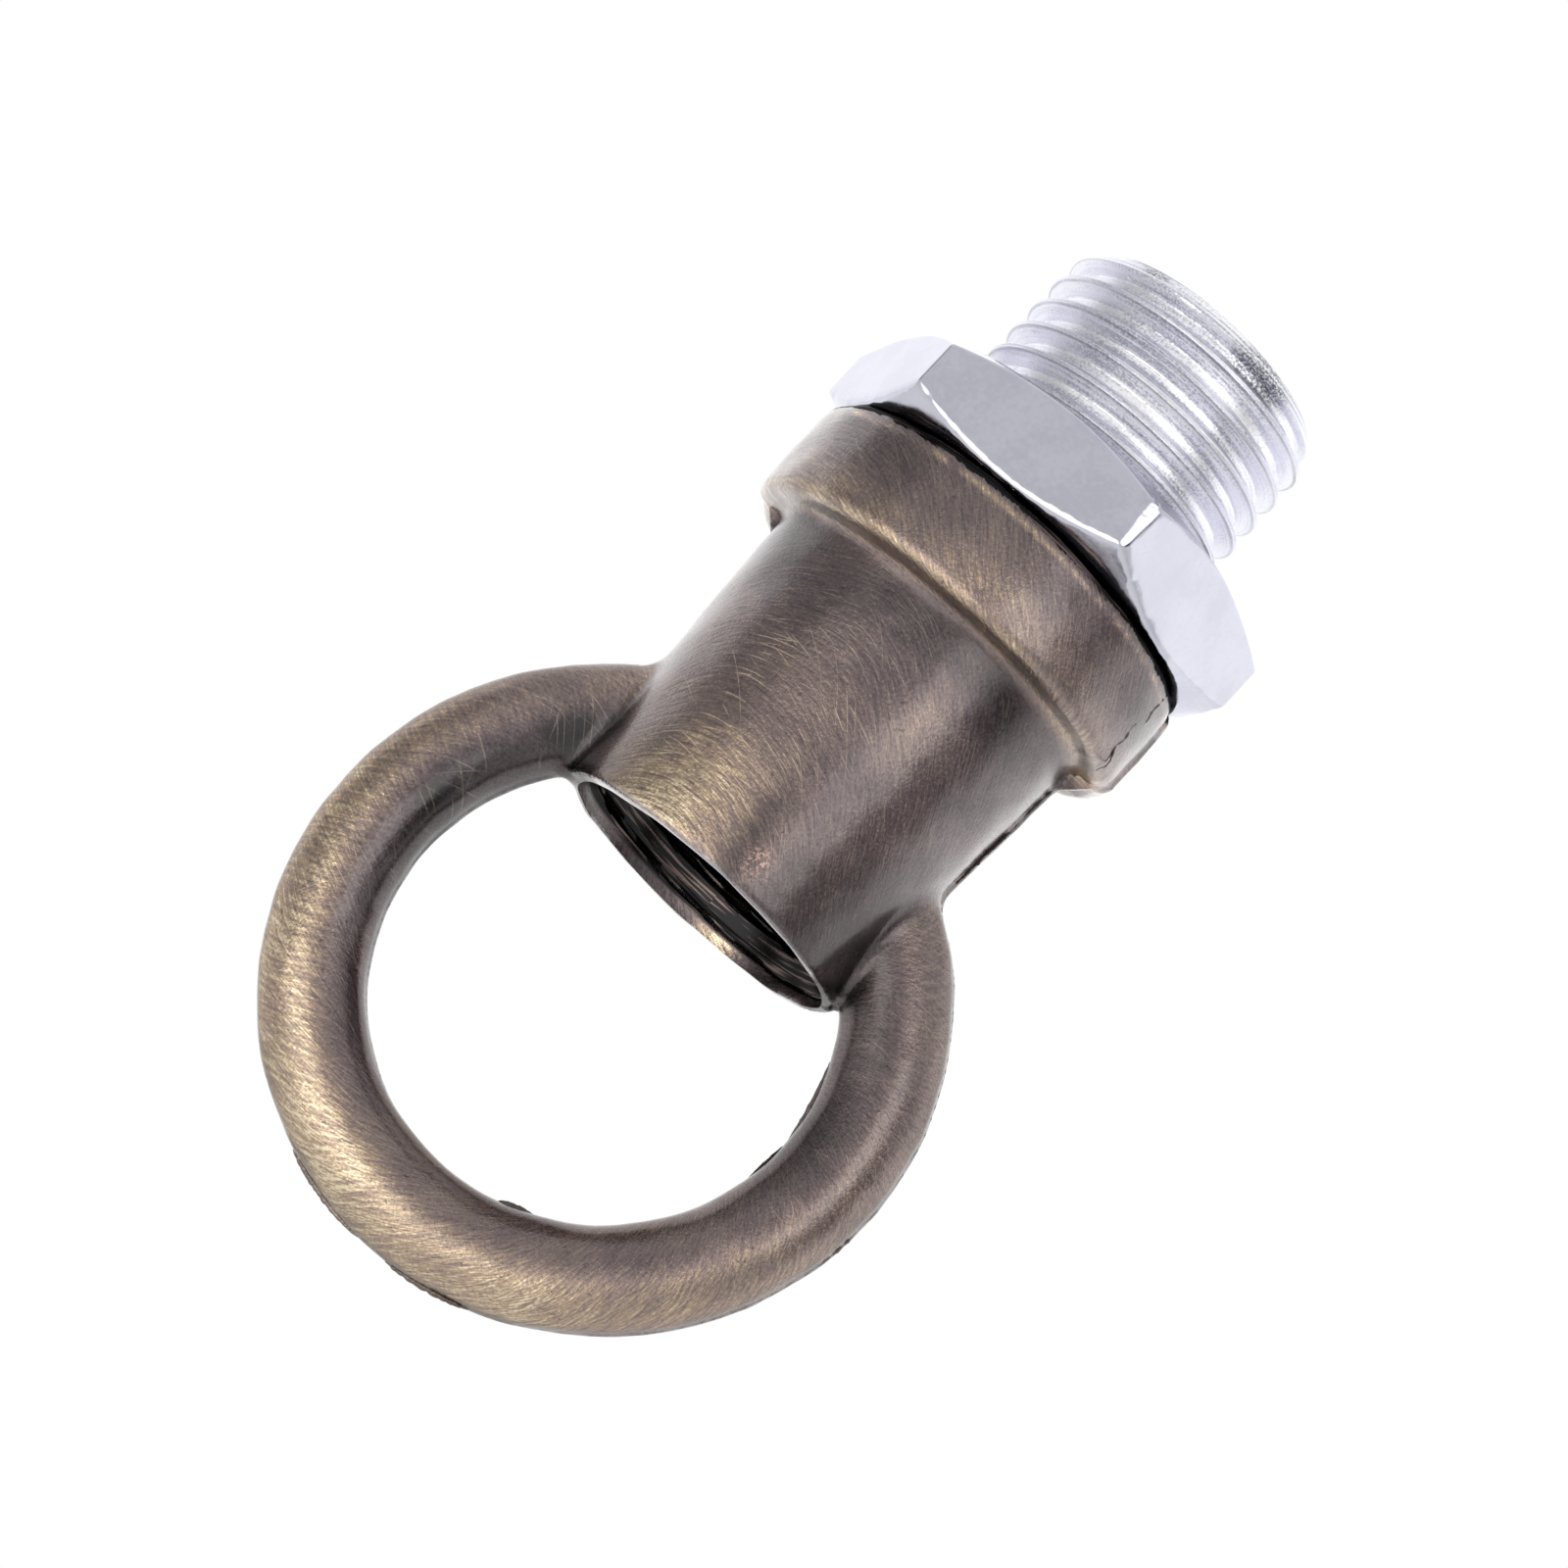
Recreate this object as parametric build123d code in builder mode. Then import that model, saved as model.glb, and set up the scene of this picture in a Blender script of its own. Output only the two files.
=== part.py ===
from build123d import *
import math
import os

os.makedirs("parts", exist_ok=True)

# Sizes in millimetres. Z runs up the stud, and z = 0 is the nut's upper face.

# Hollow stud with a fine lamp thread, 10 mm by 1 mm pitch
crest_r = 4.95              # thread crest
thread_depth = 0.61         # crest to root of a 1 mm pitch thread
stud_wall = 0.54            # wall left under the thread's root, round the cord's way
stud_free = 6.35            # length that stands above the nut
stud_hidden = 12.0          # length screwed into the nut and the casting
edge_break = 0.2            # small bevel on the stud's bore and hidden end

# Locknut
across_flats = 14.0
nut_h = 3.0
nut_turn = -70.0            # angle of one corner seen from above
chamfer_angle = 30.0
nut_lead = 0.5              # countersink of the nut's thread

# Casting: round flange, tapered socket and ring
flange_lip = 0.35           # flange beyond the nut's flats
flange_h = 3.7
flange_top_bevel = 0.5
flange_low_bevel = 0.3
socket_h = 10.5             # flange underside to the mouth
socket_draft = 3.8          # taper of the socket's outside, degrees
mouth_wall = 0.705          # wall round the tapped hole at the mouth
mouth_lead = 0.25           # bevel inside the mouth
ring_mid_r = 8.72
ring_wire_r = 1.645
ring_clear = 0.29           # mouth's rim out to the ring's inner edge
join_round = 0.3            # fillet where the ring leaves the socket

# Mould line left all round the casting
seam_proud = 0.1
seam_w = 0.3
web = 0.75                  # flash left in the corner under the flange

# Threads in mesh are drawn at their mid depth with this gap
thread_gap = 0.05

# Sizes that follow from those above
engaged_r = crest_r - thread_depth / 2
root_r = crest_r - thread_depth
stud_bore_r = root_r - stud_wall
tapped_r = engaged_r + thread_gap
corner_r = across_flats / math.sqrt(3)
chamfer_rise = math.tan(math.radians(chamfer_angle))
flange_r = across_flats / 2 + flange_lip
mouth_r = tapped_r + mouth_wall
socket_top_r = mouth_r + socket_h * math.tan(math.radians(socket_draft))
flange_top_z = -nut_h
flange_low_z = flange_top_z - flange_h
mouth_z = flange_low_z - socket_h
ring_out_r = ring_mid_r + ring_wire_r
ring_in_r = ring_mid_r - ring_wire_r
ring_z = mouth_z - math.sqrt(ring_in_r ** 2 - (mouth_r + ring_clear) ** 2)

# Casting
with BuildPart() as cast_loop:
    # Flange and tapered socket turned from one outline, solid for now
    with BuildSketch(Plane.XZ) as outline:
        with BuildLine():
            Polyline(
                (0, flange_top_z),
                (flange_r, flange_top_z),
                (flange_r, flange_low_z),
                (socket_top_r, flange_low_z),
                (mouth_r, mouth_z),
                (0, mouth_z),
                close=True,
            )
        make_face()
        for z, size in ((flange_low_z, flange_low_bevel), (flange_top_z, flange_top_bevel)):
            chamfer(outline.vertices().sort_by_distance((flange_r, z, 0))[0], size)
    revolve(axis=Axis.Z)

    # Ring in the XZ plane, its upper part buried in the socket wall
    with BuildSketch(Plane.YZ):
        with Locations((0, ring_z - ring_mid_r)):
            Circle(ring_wire_r)
    revolve(axis=Axis((0, 0, ring_z), (0, 1, 0)))
    joins = cast_loop.edges().filter_by(GeomType.BSPLINE)
    fillet(joins, join_round)

    # Mould line: a thin plate in the ring's plane that stands just proud
    with BuildSketch(Plane.XZ):
        for side in (1, -1):
            with BuildLine():
                Polyline(
                    (0, flange_top_z - flange_top_bevel),
                    (side * (flange_r + seam_proud), flange_top_z - flange_top_bevel),
                    (side * (flange_r + seam_proud), flange_low_z + flange_low_bevel),
                    (side * (socket_top_r + web), flange_low_z),
                    (side * (socket_top_r + seam_proud), flange_low_z - web),
                    (side * mouth_r, mouth_z + seam_proud),
                    (0, mouth_z + seam_proud),
                    close=True,
                )
            make_face()
        with Locations((0, ring_z)):
            Circle(ring_out_r + seam_proud)
            Circle(ring_in_r - seam_proud, mode=Mode.SUBTRACT)
    extrude(amount=seam_w / 2, both=True)

    # Tapped hole right through, with a bevel at each end
    with BuildSketch(Plane.XZ):
        with BuildLine():
            Polyline(
                (0, flange_top_z + 1),
                (tapped_r + mouth_lead, flange_top_z + 1),
                (tapped_r + mouth_lead, flange_top_z),
                (tapped_r, flange_top_z - mouth_lead),
                (tapped_r, mouth_z + mouth_lead),
                (tapped_r + mouth_lead, mouth_z),
                (tapped_r + mouth_lead, mouth_z - 1),
                (0, mouth_z - 1),
                close=True,
            )
        make_face()
    revolve(axis=Axis.Z, mode=Mode.SUBTRACT)
cast_loop.part.label = "cast_loop"

# Hollow stud, drawn at its crest above the nut and at mid thread where it is in mesh
with BuildPart() as threaded_tube:
    with BuildSketch(Plane.XZ):
        with BuildLine():
            Polyline(
                (stud_bore_r, edge_break - stud_hidden),
                (stud_bore_r + edge_break, -stud_hidden),
                (engaged_r - edge_break, -stud_hidden),
                (engaged_r, edge_break - stud_hidden),
                (engaged_r, 0),
                (crest_r, 0),
                (crest_r, stud_free - thread_depth),
                (root_r, stud_free),
                (stud_bore_r + edge_break, stud_free),
                (stud_bore_r, stud_free - edge_break),
                close=True,
            )
        make_face()
    revolve(axis=Axis.Z)
threaded_tube.part.label = "threaded_tube"

# Locknut: hexagon bar crossed with a turned blank that bevels the six corners
with BuildPart() as hex_locknut:
    with BuildSketch(Plane.XY.offset(-nut_h)):
        RegularPolygon(corner_r, 6, rotation=nut_turn)
    extrude(amount=nut_h)
    blank_r = corner_r + 0.5
    blank_rise = (blank_r - across_flats / 2) * chamfer_rise
    with BuildSketch(Plane.XZ):
        with BuildLine():
            Polyline(
                (0, -nut_h),
                (across_flats / 2, -nut_h),
                (blank_r, blank_rise - nut_h),
                (blank_r, -blank_rise),
                (across_flats / 2, 0),
                (0, 0),
                close=True,
            )
        make_face()
    revolve(axis=Axis.Z, mode=Mode.INTERSECT)
    with BuildSketch(Plane.XZ):
        with BuildLine():
            Polyline(
                (0, -nut_h),
                (tapped_r + nut_lead, -nut_h),
                (tapped_r, nut_lead - nut_h),
                (tapped_r, -nut_lead),
                (tapped_r + nut_lead, 0),
                (0, 0),
                close=True,
            )
        make_face()
    revolve(axis=Axis.Z, mode=Mode.SUBTRACT)
hex_locknut.part.label = "hex_locknut"

export_step(cast_loop.part, "parts/cast_loop.step")
export_step(threaded_tube.part, "parts/threaded_tube.step")
export_step(hex_locknut.part, "parts/hex_locknut.step")
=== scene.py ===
import math

import bpy
import numpy as np
from mathutils import Matrix, Vector


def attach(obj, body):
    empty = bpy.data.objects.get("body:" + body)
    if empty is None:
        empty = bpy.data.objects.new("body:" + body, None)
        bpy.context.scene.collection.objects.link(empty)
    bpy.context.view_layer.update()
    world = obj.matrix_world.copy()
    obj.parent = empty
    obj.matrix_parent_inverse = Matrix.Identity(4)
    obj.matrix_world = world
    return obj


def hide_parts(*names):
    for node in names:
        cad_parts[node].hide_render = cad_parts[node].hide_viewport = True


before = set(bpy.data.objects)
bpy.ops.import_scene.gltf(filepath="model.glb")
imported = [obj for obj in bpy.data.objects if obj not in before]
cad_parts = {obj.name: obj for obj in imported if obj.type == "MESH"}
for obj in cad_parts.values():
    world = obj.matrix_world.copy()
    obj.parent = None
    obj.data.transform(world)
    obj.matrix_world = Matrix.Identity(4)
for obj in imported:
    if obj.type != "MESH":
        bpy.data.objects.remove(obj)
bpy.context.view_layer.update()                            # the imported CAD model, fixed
mm = 0.001                                   # shapes are drawn in millimetres, then scaled to metres
scene = bpy.context.scene


# Small helpers

def linear(hexColour):
    parts = [int(hexColour[i:i + 2], 16) / 255 for i in (1, 3, 5)]
    return tuple(c / 12.92 if c <= 0.04045 else ((c + 0.055) / 1.055) ** 2.4 for c in parts) + (1.0,)


def addNode(tree, kind, settings=None, inputs=None):
    made = tree.nodes.new(kind)
    for name, value in (settings or {}).items():
        setattr(made, name, value)
    if isinstance(inputs, tuple):                # in the order in which the node shows them
        inputs = dict(zip([i for i, socket in enumerate(made.inputs) if socket.enabled], inputs))
    for key, value in (inputs or {}).items():
        if isinstance(value, bpy.types.NodeSocket):
            tree.links.new(value, made.inputs[key])
        else:
            made.inputs[key].default_value = value
    return made


# which setting a mode is, for the kinds whose mode may follow a dot
modeNames = {"Math": "operation", "VectorMath": "operation", "MapRange": "interpolation_type", "Mix": "data_type",
             "TexNoise": "noise_dimensions", "TexWhiteNoise": "noise_dimensions"}


def adderFor(tree):
    # addNode for short, with inputs in order; the first output that the node shows comes back
    def add(kind, *inputs):
        kind, dot, mode = kind.partition(".")
        made = addNode(tree, "ShaderNode" + kind, {modeNames[kind]: mode} if mode else None, inputs)
        return next(socket for socket in made.outputs if socket.enabled)

    return add


def startTree(name, sizes, counts=()):
    # a geometry tree that takes a shape, its sizes and a finish; returns it, its adder and what it is given
    tree = bpy.data.node_groups.new(name, "GeometryNodeTree")
    sockets = [("Shape", "Geometry")] + [(item, "Float") for item in sizes] + [(item, "Int") for item in counts]
    for item, kind in sockets + [("Finish", "Material")]:
        tree.interface.new_socket(item, in_out="INPUT", socket_type="NodeSocket" + kind)
    tree.interface.new_socket("Made", in_out="OUTPUT", socket_type="NodeSocketGeometry")
    return tree, adderFor(tree), addNode(tree, "NodeGroupInput").outputs


def endTree(tree, shape, material):
    real = addNode(tree, "GeometryNodeRealizeInstances", None, {0: shape}).outputs[0]
    made = addNode(tree, "GeometryNodeSetMaterial", None, {"Geometry": real, "Material": material}).outputs[0]
    addNode(tree, "NodeGroupOutput", None, {0: made})
    return tree


def drawMesh(name, points, faces, plain=None):
    mesh = bpy.data.meshes.new(name)
    mesh.from_pydata(np.asarray(points).tolist(), [], np.asarray(faces, dtype=object).tolist())
    if plain is not None:
        mesh.attributes.new("plain", "FLOAT", "POINT").data.foreach_set("value", plain)
    piece = bpy.data.objects.new(name, mesh)
    scene.collection.objects.link(piece)
    return piece


def corners(mesh):
    flat = np.zeros(len(mesh.vertices) * 3, np.float32)
    mesh.vertices.foreach_get("co", flat)
    return flat.reshape(-1, 3).astype(float)


def frozen(piece, name):
    # the evaluated modifiers become a plain mesh on a fresh object
    graph = bpy.context.evaluated_depsgraph_get()
    mesh = bpy.data.meshes.new_from_object(piece.evaluated_get(graph), preserve_all_data_layers=True,
                                           depsgraph=graph)
    mesh.name = name
    made = bpy.data.objects.new(name, mesh)
    scene.collection.objects.link(made)
    bpy.data.objects.remove(piece)
    return made


def finishPiece(piece, material, nodeName, sharpAngle):
    # to metres, smooth but for real edges, then tied to the frame
    mesh = piece.data
    mesh.transform(Matrix.Scale(mm, 4))
    mesh.materials.clear()
    mesh.materials.append(material)
    mesh.shade_smooth()
    mesh.set_sharp_from_angle(angle=math.radians(sharpAngle))
    mesh.update()
    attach(piece, "root")
    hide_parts(nodeName)
    triangles = sum(len(p.vertices) - 2 for p in mesh.polygons)
    print(piece.name, "done,", triangles, "triangles")


def filletMin(a, b, width):
    # the nearer of two forms, with a fillet about that wide
    share = np.clip(0.5 + 0.5 * (b - a) / width, 0, 1)
    return b + (a - b) * share - width * share * (1 - share)


def ripple(points, size, seed):
    # smooth uneven waves about size millimetres long, from -1 to 1
    rng = np.random.default_rng(seed)
    total = np.zeros(len(points))
    for i in range(6):
        way = rng.normal(size=3)
        way *= 2 * math.pi / (size * rng.uniform(0.7, 1.5)) / np.linalg.norm(way)
        total += np.sin(points @ way + rng.uniform(0, 6.28))     # a whole turn, near enough
    return total / 3.5


# Camera where the photograph was taken from, with no lens shift

view = {
    "place": (12.947, -152.879, -44.319),
    "right": (0.741405, -0.072374, 0.667143),
    "up": (-0.665603, -0.205810, 0.717366),
    "back": (0.085387, -0.975912, -0.200761),
    "lens": 117.777,
    "sensor": 36.0,
}
lensData = bpy.data.cameras.new("camera")
lensData.lens = view["lens"]
lensData.sensor_width = view["sensor"]
lensData.clip_start = 0.01
lensData.clip_end = 10
camera = bpy.data.objects.new("camera", lensData)
facing = Matrix([view["right"], view["up"], view["back"]]).transposed().to_4x4()
camera.matrix_world = Matrix.Translation(Vector(view["place"]) * mm) @ facing
scene.collection.objects.link(camera)
scene.camera = camera
print("camera set")


# Thread: a tree that cuts a helical thread into a turned blank

thread = {
    "pitch": 1.0,
    "crest": 4.89,
    "root": 4.3,
    "crestHeight": 3.62,       # a crest passes this height
    "crestAngle": 184.0,       # at this angle, in degrees
    "crestFlat": 0.12,         # shares of half a pitch
    "rootFlat": 0.28,
    "seamDepth": 0.07,         # fold that thread rolling leaves along the crest
    "seamShare": 0.09,
    "clearance": 0.05,
    "seed": 3.0,
}


def threadTree():
    tree, add, given = startTree("turnThread", ("Pitch", "Crest Radius", "Root Radius", "Start Height",
                                                "Crest Flat", "Root Flat", "Seam Depth", "Seam Share", "Seed"))
    place = addNode(tree, "GeometryNodeInputPosition").outputs[0]
    part = addNode(tree, "ShaderNodeSeparateXYZ", None, {0: place}).outputs
    angle = add("Math.ARCTAN2", part[1], part[0])
    radius = add("Math.SQRT", add("Math.MULTIPLY_ADD", part[0], part[0], add("Math.MULTIPLY", part[1], part[1])))
    wobble = add("TexNoise.4D", place, given["Seed"], 0.9, 3.0)
    turns = add("Math.DIVIDE", add("Math.SUBTRACT", part[2], given["Start Height"]), given["Pitch"])
    turns = add("Math.SUBTRACT", turns, add("Math.DIVIDE", angle, 2 * math.pi))
    toCrest = add("Math.PINGPONG", turns, 0.5)
    away = add("Math.MULTIPLY", toCrest, 2.0)         # 0 on the crest, 1 at the root
    flank = addNode(tree, "ShaderNodeMapRange", {"clamp": False},
                    {0: away, 1: given["Crest Flat"], 2: add("Math.SUBTRACT", 1.0, given["Root Flat"]),
                     3: 1.0, 4: 0.0}).outputs[0]
    depth = add("Math.SUBTRACT", given["Crest Radius"], given["Root Radius"])
    height = add("Math.MULTIPLY_ADD", flank, depth, given["Root Radius"])
    height = add("Math.SMOOTH_MAX", height, given["Root Radius"], 0.08)
    height = add("Math.MINIMUM", height, given["Crest Radius"])
    seam = add("MapRange", away, 0.0, given["Seam Share"], given["Seam Depth"], 0.0)
    height = add("Math.SUBTRACT", height, seam)
    scale = add("Math.DIVIDE", add("Math.MINIMUM", radius, height), add("Math.MAXIMUM", radius, 0.001))
    lift = add("Math.MULTIPLY_ADD", wobble, 0.05, -0.025)
    newPlace = add("CombineXYZ", add("Math.MULTIPLY", part[0], scale), add("Math.MULTIPLY", part[1], scale),
                   add("Math.ADD", part[2], lift))
    plain = addNode(tree, "GeometryNodeInputNamedAttribute", {"data_type": "FLOAT"}, {0: "plain"}).outputs[0]
    isCut = addNode(tree, "FunctionNodeCompare", {"data_type": "FLOAT", "operation": "LESS_THAN"},
                    {0: plain, 1: 0.5}).outputs[0]
    shaped = addNode(tree, "GeometryNodeSetPosition", None,
                     {"Geometry": given["Shape"], "Selection": isCut, "Position": newPlace}).outputs[0]
    return endTree(tree, shaped, given["Finish"])


def runTree(piece, tree, values, name):
    # inputs are set by their identifiers before the piece is first evaluated
    step = piece.modifiers.new("nodes", "NODES")
    step.node_group = tree
    found = {item.name: item.identifier for item in tree.interface.items_tree if item.item_type == "SOCKET"}
    for key, value in values.items():
        step[found[key]] = value
    return frozen(piece, name)


def cutThread(piece, name, material, extra=0.0, seam=True):
    start = thread["crestHeight"] - thread["crestAngle"] / 360 * thread["pitch"]
    return runTree(piece, threadNodes, {
        "Pitch": thread["pitch"], "Crest Radius": thread["crest"] + extra,
        "Root Radius": thread["root"] + extra, "Start Height": start,
        "Crest Flat": thread["crestFlat"], "Root Flat": thread["rootFlat"],
        "Seam Depth": thread["seamDepth"] if seam else 0.0, "Seam Share": thread["seamShare"],
        "Seed": thread["seed"], "Finish": material}, name)


def turnedFaces(rows, columns, way=1):
    # quads between rings of points that close on themselves both ways
    i, j = np.meshgrid(np.arange(rows), np.arange(columns), indexing="ij")
    i2, j2 = (i + 1) % rows, (j + 1) % columns
    quads = np.stack([i * columns + j, i * columns + j2, i2 * columns + j2, i2 * columns + j], -1).reshape(-1, 4)
    return quads if way > 0 else quads[:, [0, 3, 2, 1]]


def lathe(outline, columns):
    # a closed outline of (radius, height, plain) turned round Z; plain rows get no thread
    outline = np.asarray(outline, float)
    angle = np.arange(columns) * 2 * math.pi / columns
    points = np.stack([outline[:, None, 0] * np.cos(angle), outline[:, None, 0] * np.sin(angle),
                       np.repeat(outline[:, 1:2], columns, 1)], -1).reshape(-1, 3)
    return points, turnedFaces(len(outline), columns), np.repeat(outline[:, 2], columns)


threadNodes = threadTree()
finish = {name: bpy.data.materials.new(name) for name in
          ("antiqueBrushedBrass", "zincPlatedStud", "zincPlatedNut")}


# Hollow stud

stud = {
    "bore": 3.8,
    "free": 6.2,
    "hidden": 12.0,
    "engaged": 4.645,          # half way down the thread, where it is in mesh
    "meshTop": -0.5,
    "endBevel": 0.72,
    "endRound": 0.12,
    "boreBreak": 0.2,
    "columns": 288,
    "rowShares": (0.0, 0.025, 0.045, 0.062, 0.08, 0.115, 0.17, 0.23, 0.28, 0.32, 0.36, 0.40, 0.45),
}


def studEnvelope(z):
    # the turned blank: engaged size below the nut's face, bevelled at the free end
    start = stud["engaged"] + np.maximum(0, z - stud["meshTop"]) * 1.25
    bevel = thread["root"] + (stud["free"] - z) / stud["endBevel"] * (thread["crest"] - thread["root"])
    return np.minimum(start, filletMin(np.full_like(z, thread["crest"]), bevel, stud["endRound"]))


def makeStud():
    # rows of points lie along the helix, so the crest's edges are drawn without steps
    columns, free, hidden, bore, edge = (stud[key] for key in
                                         ("columns", "free", "hidden", "bore", "boreBreak"))
    low, high = stud["meshTop"], free - 0.015
    shares = np.array(stud["rowShares"])
    shares = np.concatenate([shares, [0.5], 1 - shares[:0:-1]])
    start = thread["crestHeight"] - thread["crestAngle"] / 360 * thread["pitch"]
    first, last = math.floor(low - start - 1), math.ceil(high - start + 1)
    phase = np.concatenate([shares + k for k in range(first, last)])
    angle = -math.pi + np.arange(columns) * 2 * math.pi / columns
    z = start + thread["pitch"] * (phase[:, None] + angle / (2 * math.pi))
    clipped = np.clip(z, low, high)
    radius = studEnvelope(clipped)
    points = np.stack([radius * np.cos(angle), radius * np.sin(angle), clipped], -1).reshape(-1, 3)
    index = np.arange(len(points)).reshape(z.shape)
    index[z <= low] = np.broadcast_to(index[0], z.shape)[z <= low]
    index[z >= high] = np.broadcast_to(index[-1], z.shape)[z >= high]
    perTurn = len(shares)
    rows = len(phase)
    faces = []
    for j in range(columns):
        step = perTurn if j == columns - 1 else 0       # the helix closes on the row one turn up
        for i in range(rows - 1):
            a, b = index[i, j], index[i + 1, j]
            i1, i2 = min(i + step, rows - 1), min(i + 1 + step, rows - 1)
            d, c = index[i1, (j + 1) % columns], index[i2, (j + 1) % columns]
            face = [v for k, v in enumerate((a, d, c, b)) if v not in (a, d, c, b)[:k]]
            if len(face) > 2:
                faces.append(face)
    outer = [(stud["engaged"], low), (stud["engaged"], -6.0), (stud["engaged"], edge - hidden),
             (stud["engaged"] - edge, -hidden), (bore + edge, -hidden), (bore, edge - hidden), (bore, -6.0),
             (bore, 0.0), (bore, free - edge), (bore + edge * 0.3, free - edge * 0.3), (bore + edge, free),
             (thread["root"] - 0.03, free)]
    count = len(points)
    rings = [index[0]] + [count + k * columns + np.arange(columns) for k in range(len(outer) - 1)] + [index[-1]]
    more = np.concatenate([np.stack([r * np.cos(angle), r * np.sin(angle), np.full(columns, h)], -1)
                           for r, h in outer[1:]])
    for one, two in zip(rings[:-1], rings[1:]):
        for j in range(columns):
            faces.append([one[j], two[j], two[(j + 1) % columns], one[(j + 1) % columns]])
    points = np.concatenate([points, more])
    plain = np.concatenate([np.zeros(count), np.ones(len(more))])
    used, place = np.unique(np.concatenate(faces), return_inverse=True)
    sizes = np.cumsum([0] + [len(face) for face in faces])
    faces = [place[a:b].tolist() for a, b in zip(sizes[:-1], sizes[1:])]
    blank = drawMesh("studBlank", points[used], faces, plain[used])
    piece = cutThread(blank, "stud", finish["zincPlatedStud"])
    finishPiece(piece, finish["zincPlatedStud"], "threaded_tube", 40)


makeStud()


# Locknut, cut from hexagon bar with both ends turned to a chamfer

nut = {
    "acrossFlats": 14.0,
    "high": 3.0,
    "turn": -70.0,             # angle of one corner
    "blankRadius": 6.87,       # where each chamfer starts
    "chamferRise": math.tan(math.radians(30)),
    "hole": 4.695,
    "lead": 0.5,
    "cornerRound": 0.07,
    "lowEdge": 0.21,           # width of the rolled edge on the casting's side
    "topEdge": 0.10,
    "beads": ((-113.8, 0.10), (-88.2, 0.08)),   # angle and extra width of lumps on that edge
    "brokenCorner": -72.0,     # this corner was knocked flat, more towards the thread
    "brokenDeep": (0.05, 0.20),
    "nick": (-128.6, 0.16),
    "perSide": 60,
    "facetRows": 16,
}


def makeNut():
    flat = nut["acrossFlats"] / 2
    step = np.linspace(-1, 1, nut["perSide"], endpoint=False)
    local = np.radians(30) * np.sign(step) * (1 - (1 - np.abs(step)) ** 1.6)   # closer near the corners
    angle = np.concatenate([np.radians(nut["turn"] + 30 + 60 * k) + local for k in range(6)])
    fold = np.tile(np.abs(local), 6)
    edge = filletMin(flat / np.cos(fold), flat / np.cos(np.radians(60) - fold), nut["cornerRound"])
    ring = np.stack([edge * np.cos(angle), edge * np.sin(angle), np.zeros(len(angle))], -1)
    uneven = ripple(ring, 1.1, 11)
    fine = ripple(ring, 0.35, 12)
    reach = edge - nut["blankRadius"]
    topZ = -reach * nut["chamferRise"]
    lowZ = -nut["high"] + reach * nut["chamferRise"]
    rows = []

    def addRow(radius, z):
        radius, z = np.broadcast_to(radius, angle.shape), np.broadcast_to(z, angle.shape)
        rows.append(np.stack([radius * np.cos(angle), radius * np.sin(angle), z], -1))

    def trimmed(radius, z):
        # takes the knocked corner off down to a plane that leans in towards the thread
        share = np.clip((z + nut["high"]) / nut["high"], 0, 1)
        deep = nut["brokenDeep"][0] * (1 - share) + nut["brokenDeep"][1] * share
        turn = np.cos(angle - math.radians(nut["brokenCorner"]))
        plane = (flat / math.cos(math.radians(30)) - deep) / np.maximum(turn, 0.05)
        return np.where(turn > 0.9, np.minimum(radius, plane), radius)

    hole, lead, high = nut["hole"], nut["lead"], nut["high"]
    turned = nut["blankRadius"]
    for radius, z in ((hole, -lead), (hole + lead, 0), (turned - 0.8, 0), (turned - 0.05, 0), (turned, -0.006)):
        addRow(radius, z)
    topWide = np.minimum(nut["topEdge"] * (1 + 0.3 * uneven), reach * 1.1)
    lowWide = nut["lowEdge"] * (1 + 0.3 * uneven + 0.25 * fine)
    for place, extra in nut["beads"]:
        lowWide += extra * np.exp(-((np.degrees(angle) - place) / 1.1) ** 2)
    lowWide = np.minimum(lowWide, reach * 1.25 + 0.03)
    slope = math.radians(30)

    def roundedEdge(cornerZ, wide, up):
        # quadratic curve from the chamfer round to the flat
        for t in np.linspace(0, 1, 6):
            a, b, c = (1 - t) ** 2, 2 * t * (1 - t), t ** 2
            radius = a * (edge - wide * math.cos(slope)) + b * edge + c * edge
            z = a * (cornerZ + up * wide * math.sin(slope)) + b * cornerZ + c * (cornerZ - up * wide)
            yield trimmed(radius, z), z

    addRow((turned + edge - topWide * math.cos(slope)) / 2, (topZ + topWide * math.sin(slope)) / 2)
    for radius, z in roundedEdge(topZ, topWide, 1):
        addRow(radius, z)
    for t in np.linspace(0, 1, nut["facetRows"])[1:-1]:
        z = (topZ - topWide) * (1 - t) + (lowZ + lowWide) * t
        dent = np.exp(-((np.degrees(angle) - nut["nick"][0]) / 0.5) ** 2 - ((z + 2.1) / 0.12) ** 2)
        addRow(trimmed(edge, z) - nut["nick"][1] * dent, z)
    for radius, z in reversed(list(roundedEdge(lowZ, lowWide, -1))):
        addRow(radius, z)
    addRow((turned + edge - lowWide * math.cos(slope)) / 2, (-high + lowZ - lowWide * math.sin(slope)) / 2)
    for radius, z in ((turned, -high + 0.006), (turned - 0.05, -high), (turned - 0.8, -high),
                      (hole + lead, -high), (hole, lead - high)):
        addRow(radius, z)
    points = np.array(rows)
    piece = drawMesh("locknut", points.reshape(-1, 3), turnedFaces(*points.shape[:2], -1))
    finishPiece(piece, finish["zincPlatedNut"], "hex_locknut", 40)


makeNut()


# Casting: flange, tapered socket and ring in one form

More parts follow.
